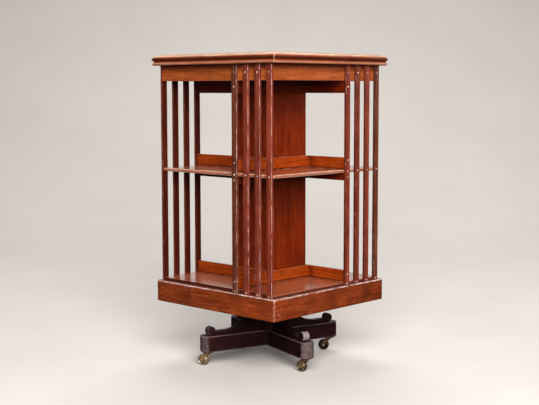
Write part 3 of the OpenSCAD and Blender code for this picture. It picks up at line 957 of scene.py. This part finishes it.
def make_beams():
    """The cross: each beam is two arms with rounded ends and its half of the lap between them."""
    lo, hi = node_box("lower_beam")
    arm_end, half, steps = (BEAM_LEN - BEAM_W) / 2, BEAM_W / 2, 6
    along_arm = [half + (arm_end - half) * i / steps for i in range(steps)]
    arm = [(x, -half) for x in along_arm] + arc_points(arm_end, 0.0, half, -90, 90, 24)
    arm += [(x, half) for x in reversed(along_arm)]
    mid_z = (lo[Z] + hi[Z]) / 2
    for node, first, low, high in (("lower_beam", 0, lo[Z], mid_z), ("upper_beam", 1, mid_z, hi[Z])):
        beam = Shape()
        for k in (first, first + 2):

            def end_rub_and_sheen(c):
                """The arm's round end has been kicked, and is paled further as a painted sheen."""
                return ARM_RUB_AND_SHEEN[SIDES[k]] * part_way(c.x - arm_end, 0.008)

            beam.join(prism(arm, lo[Z], hi[Z], r=0.0022, wear=0.82, rubbed=end_rub_and_sheen).turned(arm_turn(k)))
        lap = board((-half, -half, low), (half, half, high), along=X, r=0.0004, step=0.01, wear=0.0)
        piece(f"{node}_wood", beam.join(lap.turned(arm_turn(first))), "base", "dark_base", [node])


def scroll_eyes():
    """The round eye of a bracket's scroll, on both its faces."""
    profile = [(NEARLY_AXIS, 0.0), (EYE_R, 0.0), (EYE_R, EYE_PROUD * 0.6), (EYE_R * 0.75, EYE_PROUD)]
    profile.append((NEARLY_AXIS, EYE_PROUD))
    eyes = Shape()
    for s in (-1, 1):
        at = Matrix.Translation((ROLL_AT, ROLL_R, s * BRACKET_T / 2))
        facing = Matrix.Rotation(math.pi, 4, "X") if s < 0 else Matrix.Identity(4)
        eyes.join(lathe(profile, 24, [0, 0, 0.7, 0.7, 0.5]).turned(at @ facing))
    return eyes


def make_brackets():
    top, half = node_box("lower_beam")[1][Z], BRACKET_T / 2
    roll = Vector((ROLL_AT, ROLL_R))
    for k, side in enumerate(SIDES):

        def scroll_rub_and_highlight(c):
            """The roll has been kicked on its outer side; on the front one it is paler still, a painted highlight.
            """
            on_roll = c.x > ROLL_AT - 0.004 and (c.xy - roll).length > 0.9 * ROLL_R
            return SCROLL_RUB_AND_HIGHLIGHT[side] if on_roll else 0.0

        shape = prism(bracket_outline(), -half, half, r=0.0014, wear=0.72, rubbed=scroll_rub_and_highlight)
        stand = arm_turn(k) @ Matrix.Translation((0, 0, top)) @ UPRIGHT
        shape.join(scroll_eyes()).turned(stand)
        piece(f"scroll_bracket_{side}_wood", shape, "base", "dark_base", [f"scroll_bracket_{side}"])


def wheel_profile():
    """Closed section of a castor wheel, with a ringed web and a round tyre: radius, height and rubbing."""
    face = [(WHEEL_BORE, 0.0060, 0.5), (0.0046, 0.0060, 0.8), (0.0053, 0.0055, 0.3), (0.0057, 0.0044, -0.5)]
    face += [(0.0076, 0.0044, -0.5), (0.0080, 0.0050, 0.6), (0.0086, 0.0053, 1.0), (0.0092, 0.0050, 0.6)]
    face += [(0.0096, 0.0044, -0.5), (0.0112, 0.0044, -0.6), (0.0118, 0.0052, 0.2), (0.0126, 0.0060, 1.0)]
    face += [(0.0140, 0.0060, 0.9), (0.0150, 0.0055, 0.6), (0.0157, 0.0044, 0.3), (WHEEL_R, 0.0028, 0.2)]
    ring = face + [(r, -h, w) for r, h, w in reversed(face)]
    return ring + ring[:1]


def cheek_outline():
    """Side view of one cheek of a horn, anticlockwise: down its back, round the boss and up its front."""
    root, steps, sway = HORN_TOP - HORN_T / 2, 8, 0.0012

    def edge(x0, x1, i):
        x = x0 + (x1 - x0) * i / steps + sway * math.sin(math.pi * i / steps)
        return x, root + (WHEEL_R - root) * i / steps

    pts = [edge(CHEEK_FROM, TRAIL - BOSS_R, i) for i in range(steps)]
    pts += arc_points(TRAIL, WHEEL_R, BOSS_R, 180, 360, 16)
    pts += [edge(CHEEK_TO, TRAIL + BOSS_R, i) for i in reversed(range(steps))]
    return pts


def horn_shape(stand, at_hub, painted_light):
    """A castor's horn: disc and stem, two cheeks and the axle. Its last argument, this castor's painted light and
    shade, is added to the rubbing.
    """
    under, round_off = HORN_TOP - HORN_T, 0.0008
    disc = [(NEARLY_AXIS, under), (HORN_R - 0.001, under), (HORN_R, under + round_off)]
    disc += [(HORN_R, HORN_TOP - round_off), (HORN_R - 0.001, HORN_TOP), (STEM_R, HORN_TOP)]
    disc += [(STEM_R, STEM_TOP), (NEARLY_AXIS, STEM_TOP)]
    horn = lathe(disc, 48, [painted_light + w for w in (0, 0.3, 1, 1, 0.3, 0, 0, 0)]).turned(stand)
    for y in (CHEEK_AT + CHEEK_T, -CHEEK_AT):
        cheek = prism(cheek_outline(), 0.0, CHEEK_T, r=0.0005, border=0.0012)
        cheek.wear = [w + painted_light for w in cheek.wear]
        horn.join(cheek.turned(stand @ Matrix.Translation((0, y, 0)) @ UPRIGHT))
    end, head_r, chamfer = CHEEK_AT + CHEEK_T + AXLE_PROUD, 0.0013, 0.0005
    rod = [(NEARLY_AXIS, -end), (head_r, -end), (AXLE_R, chamfer - end)]
    rod += [(AXLE_R, end - chamfer), (head_r, end), (NEARLY_AXIS, end)]
    return horn.join(lathe(rod, 24, [1.5] * len(rod)).turned(at_hub))


def make_castors():
    """Each castor's wheel and horn, which follow the heading of its joints."""
    joints = {j["name"]: j for j in frame["joints"]}
    section = wheel_profile()
    for side in SIDES:
        pivot = Vector(joints[f"castor_swivel_{side}"]["pos_m"])
        hub = Vector(joints[f"wheel_roll_{side}"]["pos_m"])
        heading = math.atan2(hub.y - pivot.y, hub.x - pivot.x)
        stand = Matrix.Translation((pivot.x, pivot.y, 0)) @ Matrix.Rotation(heading, 4, "Z")
        at_hub = stand @ Matrix.Translation((TRAIL, 0, WHEEL_R)) @ UPRIGHT
        # Painted light and shade: each castor lighter or darker by how the light falls on it
        painted_light = CASTOR_PAINTED_LIGHT[side]
        wheel = lathe([p[:2] for p in section], 64, [p[2] + painted_light for p in section]).turned(at_hub)
        horn = horn_shape(stand, at_hub, painted_light)
        for part, shape, body in (("wheel", wheel, f"wheel_{side}"), ("horn", horn, f"castor_{side}")):
            name, look = f"castor_{part}_{side}", f"{part}_brass"
            piece(f"{name}_brass", shape, body, "castor_brass", [name], sharp=40.0, material=look)


def dress_cad():
    """Materials for the nodes that stay as CAD."""
    slots = {s["node"]: s["material_slot"] for s in frame["record"]["subparts"]}
    for name, ob in NODES.items():
        if ob.hide_render:
            continue
        ob.data.materials.clear()
        ob.data.materials.append(MATERIALS[CAD_MATERIALS.get(name, slots[name])])


# ---- Floor, light and camera ----


def sweep_material(away, aside):
    """A pale sheet that fades into the room far from the object, and gives little light back near it.

    away and aside are the directions towards the wall and along it.
    """
    g = Graph("sweep")
    at = g.node("ShaderNodeTexCoord", _out=3)
    mottle = g.noise(at, scale=2.5, detail=4.0)
    colour = g.ramp(mottle, (0.3, (0.74, 0.72, 0.70)), (0.7, (0.78, 0.76, 0.74)))
    # All these are distances from the object's axis, in metres
    depth = g.vector("DOT_PRODUCT", at, away, out=1)
    across = g.vector("DOT_PRODUCT", at, aside, out=1)
    reach = g.vector("LENGTH", at, out=1)
    bounce = g.math("SUBTRACT", 1.0, g.node("ShaderNodeLightPath"))
    near = g.remap(depth, 0.8, 2.2, 1.0, 0.0)
    colour = g.mix(g.times(bounce, near), colour, (0.10, 0.085, 0.075, 1))
    alpha = g.math("MAXIMUM", g.remap(reach, 3.2, 5.6, 1.0, 0.0), g.remap(depth, 0.8, 2.0))
    alpha = g.times(alpha, g.remap(g.math("ABSOLUTE", across), 2.4, 5.0, 1.0, 0.0))
    alpha = g.times(alpha, g.remap(depth, -2.4, -0.8))
    g.tree.links.new(alpha, g.bsdf.inputs["Alpha"])
    rough = g.remap(mottle, 0.3, 0.7, 0.7, 0.8)
    g.finish(colour, rough, g.bump(mottle, 0.05, 0.001), Specular_IOR_Level=0.0)


def make_sweep():
    """Floor and wall in one sheet with a round bend, square to the camera's view."""
    half, wall_at, bend, wall_top = 9.0, 4.2, 2.2, 7.0
    facing = Matrix.Rotation(math.radians(SWEEP_YAW), 4, "Z")
    section = [(-half, 0.0), (0.0, 0.0), (wall_at - bend, 0.0)]
    for a in range(10, 91, 10):
        t = math.radians(a)
        section.append((wall_at - bend + bend * math.sin(t), bend - bend * math.cos(t)))
    section.append((wall_at, wall_top))
    co = [facing @ Vector((x, y, z)) for x, z in section for y in (-half, half)]
    faces = [(2 * i, 2 * i + 1, 2 * i + 3, 2 * i + 2) for i in range(len(section) - 1)]
    me = bpy.data.meshes.new("sweep")
    me.from_pydata(co, [], faces)
    for f in me.polygons:
        f.use_smooth = True
    sweep_material(*(tuple(facing @ Vector(v)) for v in ((1, 0, 0), (0, 1, 0))))
    me.materials.append(MATERIALS["sweep"])
    sweep = add_object("sweep", me)


def make_room():
    """The world: pale where the camera looks past the sweep, and a weak fill for everything else."""
    world = bpy.data.worlds.new("studio")
    bpy.context.scene.world = world
    world.use_nodes = True
    tree = world.node_tree
    sky, room = tree.nodes["Background"], tree.nodes.new("ShaderNodeMix")
    room.data_type = "RGBA"
    fill, seen = room.inputs[6], room.inputs[7]
    fill.default_value, seen.default_value = (0.08, 0.0744, 0.0688, 1), (0.60, 0.585, 0.57, 1)
    tree.links.new(tree.nodes.new("ShaderNodeLightPath").outputs[0], room.inputs[0])
    tree.links.new(room.outputs[2], sky.inputs[0])
    sky.inputs[1].default_value = 1.0


def area_light(name, at, size, power, colour):
    """A soft box that faces the middle of the object and isn't seen itself."""
    light = bpy.data.lights.new(name, "AREA")
    light.shape, light.size, light.size_y = "RECTANGLE", *size
    light.energy, light.color = power, colour
    ob = add_object(name, light)
    ob.location = at
    ob.rotation_euler = (Vector((0, 0, 0.5)) - Vector(at)).to_track_quat("-Z", "Y").to_euler()
    ob.visible_camera = False


def make_lights():
    """A soft key high beside the camera, and weak fills."""
    area_light("key", (-2.55, -2.95, 2.20), (2.8, 2.8), 345, (1.0, 0.96, 0.90))
    area_light("right fill", (3.4, -1.6, 1.8), (1.4, 1.6), 14, (1.0, 0.95, 0.92))
    area_light("back", (1.6, 1.5, 3.4), (2.4, 2.0), 70, (1.0, 0.97, 0.94))


def make_camera():
    """Slightly above the case's upper tier, facing its front left corner."""
    yaw, down, roll = math.radians(CAMERA_YAW), math.radians(CAMERA_DOWN), math.radians(CAMERA_ROLL)
    look = Vector((math.cos(yaw) * math.cos(down), math.sin(yaw) * math.cos(down), -math.sin(down)))
    right = Vector((math.sin(yaw), -math.cos(yaw), 0))
    up = right.cross(look)
    right, up = math.cos(roll) * right + math.sin(roll) * up, math.cos(roll) * up - math.sin(roll) * right
    cam = bpy.data.cameras.new("camera")
    cam.sensor_fit, cam.sensor_width, cam.lens = "HORIZONTAL", SENSOR_MM, LENS_MM
    ob = add_object("camera", cam)
    turn = Matrix([(right[i], up[i], -look[i]) for i in range(3)]).to_4x4()
    ob.matrix_world = Matrix.Translation(CAMERA_AT) @ turn
    bpy.context.scene.camera = ob


make_camera()
make_case()
make_beams()
make_brackets()
make_castors()
dress_cad()
make_sweep()
make_room()
make_lights()
bpy.context.scene.view_settings.view_transform = "Standard"
